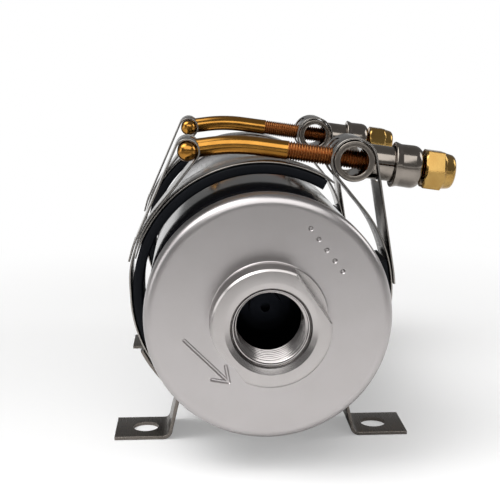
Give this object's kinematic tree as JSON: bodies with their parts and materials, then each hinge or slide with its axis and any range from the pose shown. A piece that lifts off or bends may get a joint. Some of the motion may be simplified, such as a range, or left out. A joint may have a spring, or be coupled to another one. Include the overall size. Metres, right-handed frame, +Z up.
{
  "type": "in-line electric fuel pump",
  "caption": "In-line electric fuel pump: black tube body, turned aluminium end caps with threaded ports, held by cushioned T-bolt clamps with screw-down feet.",
  "frame": {"origin": "middle of the whole object's box on the plane of the feet", "axes": "+Y along the pump axis from inlet to outlet, +Z up from the feet, +X to the side of the lock nuts"},
  "size_m": [0.1156, 0.1966, 0.1019],
  "materials": {
    "satin_aluminium": "turned, bead-blasted and clear anodised, satin",
    "black_anodised": "glossy black anodised",
    "stainless_strap": "bright rolled stainless strip",
    "yellow_zinc": "yellow zinc plated",
    "polished_steel": "polished steel",
    "rubber": "matte black moulded rubber",
    "steel": "ground steel",
    "bronze": "sintered bronze",
    "copper": "enamelled copper",
    "brass": "turned brass",
    "ferrite": "dark sintered ferrite",
    "carbon": "pressed carbon",
    "black_nylon": "moulded black nylon"
  },
  "bodies": {
    "pump": {"body_tube": "black_anodised", "brush_plate": "black_nylon", "flux_ring": "steel", "front_bridge": "stainless_strap", "front_bush": "bronze", "front_left_foot": "stainless_strap", "front_liner": "rubber", "front_right_foot": "stainless_strap", "front_strap": "stainless_strap", "front_t_bolt": "yellow_zinc", "front_trunnion": "polished_steel", "inlet_cap": "satin_aluminium", "inlet_cap_seal": "rubber", "inlet_port_plate": "steel", "left_brush_spring": "steel", "left_brush_tube": "brass", "lower_magnet": "ferrite", "negative_insulator": "black_nylon", "negative_terminal": "brass", "negative_terminal_nut": "brass", "outlet_cap": "satin_aluminium", "outlet_cap_seal": "rubber", "outlet_port_plate": "steel", "positive_insulator": "black_nylon", "positive_terminal": "brass", "positive_terminal_nut": "brass", "rear_bridge": "stainless_strap", "rear_bush": "bronze", "rear_left_foot": "stainless_strap", "rear_liner": "rubber", "rear_right_foot": "stainless_strap", "rear_strap": "stainless_strap", "rear_t_bolt": "yellow_zinc", "rear_trunnion": "polished_steel", "right_brush_spring": "steel", "right_brush_tube": "brass", "rotor_ring": "steel", "upper_magnet": "ferrite", "valve_retainer": "brass", "valve_seat": "brass", "valve_spring": "steel"},
    "armature": {"armature_shaft": "steel", "armature_core": "steel", "front_winding": "copper", "rear_winding": "copper", "commutator": "copper", "inner_rotor": "steel", "drive_pin": "steel"},
    "outer_gear": {"outer_rotor": "steel"},
    "left_carbon": {"left_brush": "carbon"},
    "right_carbon": {"right_brush": "carbon"},
    "valve_body": {"check_poppet": "brass"},
    "front_thrust": {"front_thrust_cap": "polished_steel"},
    "front_nut": {"front_lock_nut": "yellow_zinc"},
    "rear_thrust": {"rear_thrust_cap": "polished_steel"},
    "rear_nut": {"rear_lock_nut": "yellow_zinc"}
  },
  "joints": [
    {"name": "armature_spin", "type": "hinge", "parent": "pump", "child": "armature", "pos_m": [-0.00777, 0, 0.0494], "axis": [0, 1, 0], "continuous": true},
    {"name": "outer_rotor_spin", "type": "hinge", "parent": "pump", "child": "outer_gear", "pos_m": [-0.00657, -0.05165, 0.0494], "axis": [0, 1, 0], "continuous": true},
    {"name": "check_valve_lift", "type": "slide", "parent": "pump", "child": "valve_body", "axis": [0, 1, 0], "range_m": [0, 0.0025], "stiffness_N_per_m": 600, "springref_m": -0.003, "deforming": ["valve_spring"]},
    {"name": "left_brush_slide", "type": "slide", "parent": "pump", "child": "left_carbon", "axis": [-1, 0, 0], "range_m": [0, 0.002], "stiffness_N_per_m": 400, "springref_m": -0.004, "deforming": ["left_brush_spring"]},
    {"name": "right_brush_slide", "type": "slide", "parent": "pump", "child": "right_carbon", "axis": [1, 0, 0], "range_m": [0, 0.002], "stiffness_N_per_m": 400, "springref_m": -0.004, "deforming": ["right_brush_spring"]},
    {"name": "front_cap_slide", "type": "slide", "parent": "pump", "child": "front_thrust", "axis": [0.9905, 0, -0.1374], "range_m": [0, 0.006]},
    {"name": "front_nut_spin", "type": "hinge", "parent": "front_thrust", "child": "front_nut", "pos_m": [0.0223, -0.04793, 0.09408], "axis": [0.9905, 0, -0.1374], "range_deg": [0, 2381]},
    {"name": "rear_cap_slide", "type": "slide", "parent": "pump", "child": "rear_thrust", "axis": [0.9905, 0, -0.1374], "range_m": [0, 0.006]},
    {"name": "rear_nut_spin", "type": "hinge", "parent": "rear_thrust", "child": "rear_nut", "pos_m": [0.0223, 0.06008, 0.09408], "axis": [0.9905, 0, -0.1374], "range_deg": [0, 2381]}
  ],
  "couplings": [
    {"joint": "outer_rotor_spin", "follows": "armature_spin", "ratio": 0.85714},
    {"joint": "front_cap_slide", "follows": "front_nut_spin", "m_per_rad": 0.00014438},
    {"joint": "rear_cap_slide", "follows": "rear_nut_spin", "m_per_rad": 0.00014438}
  ]
}
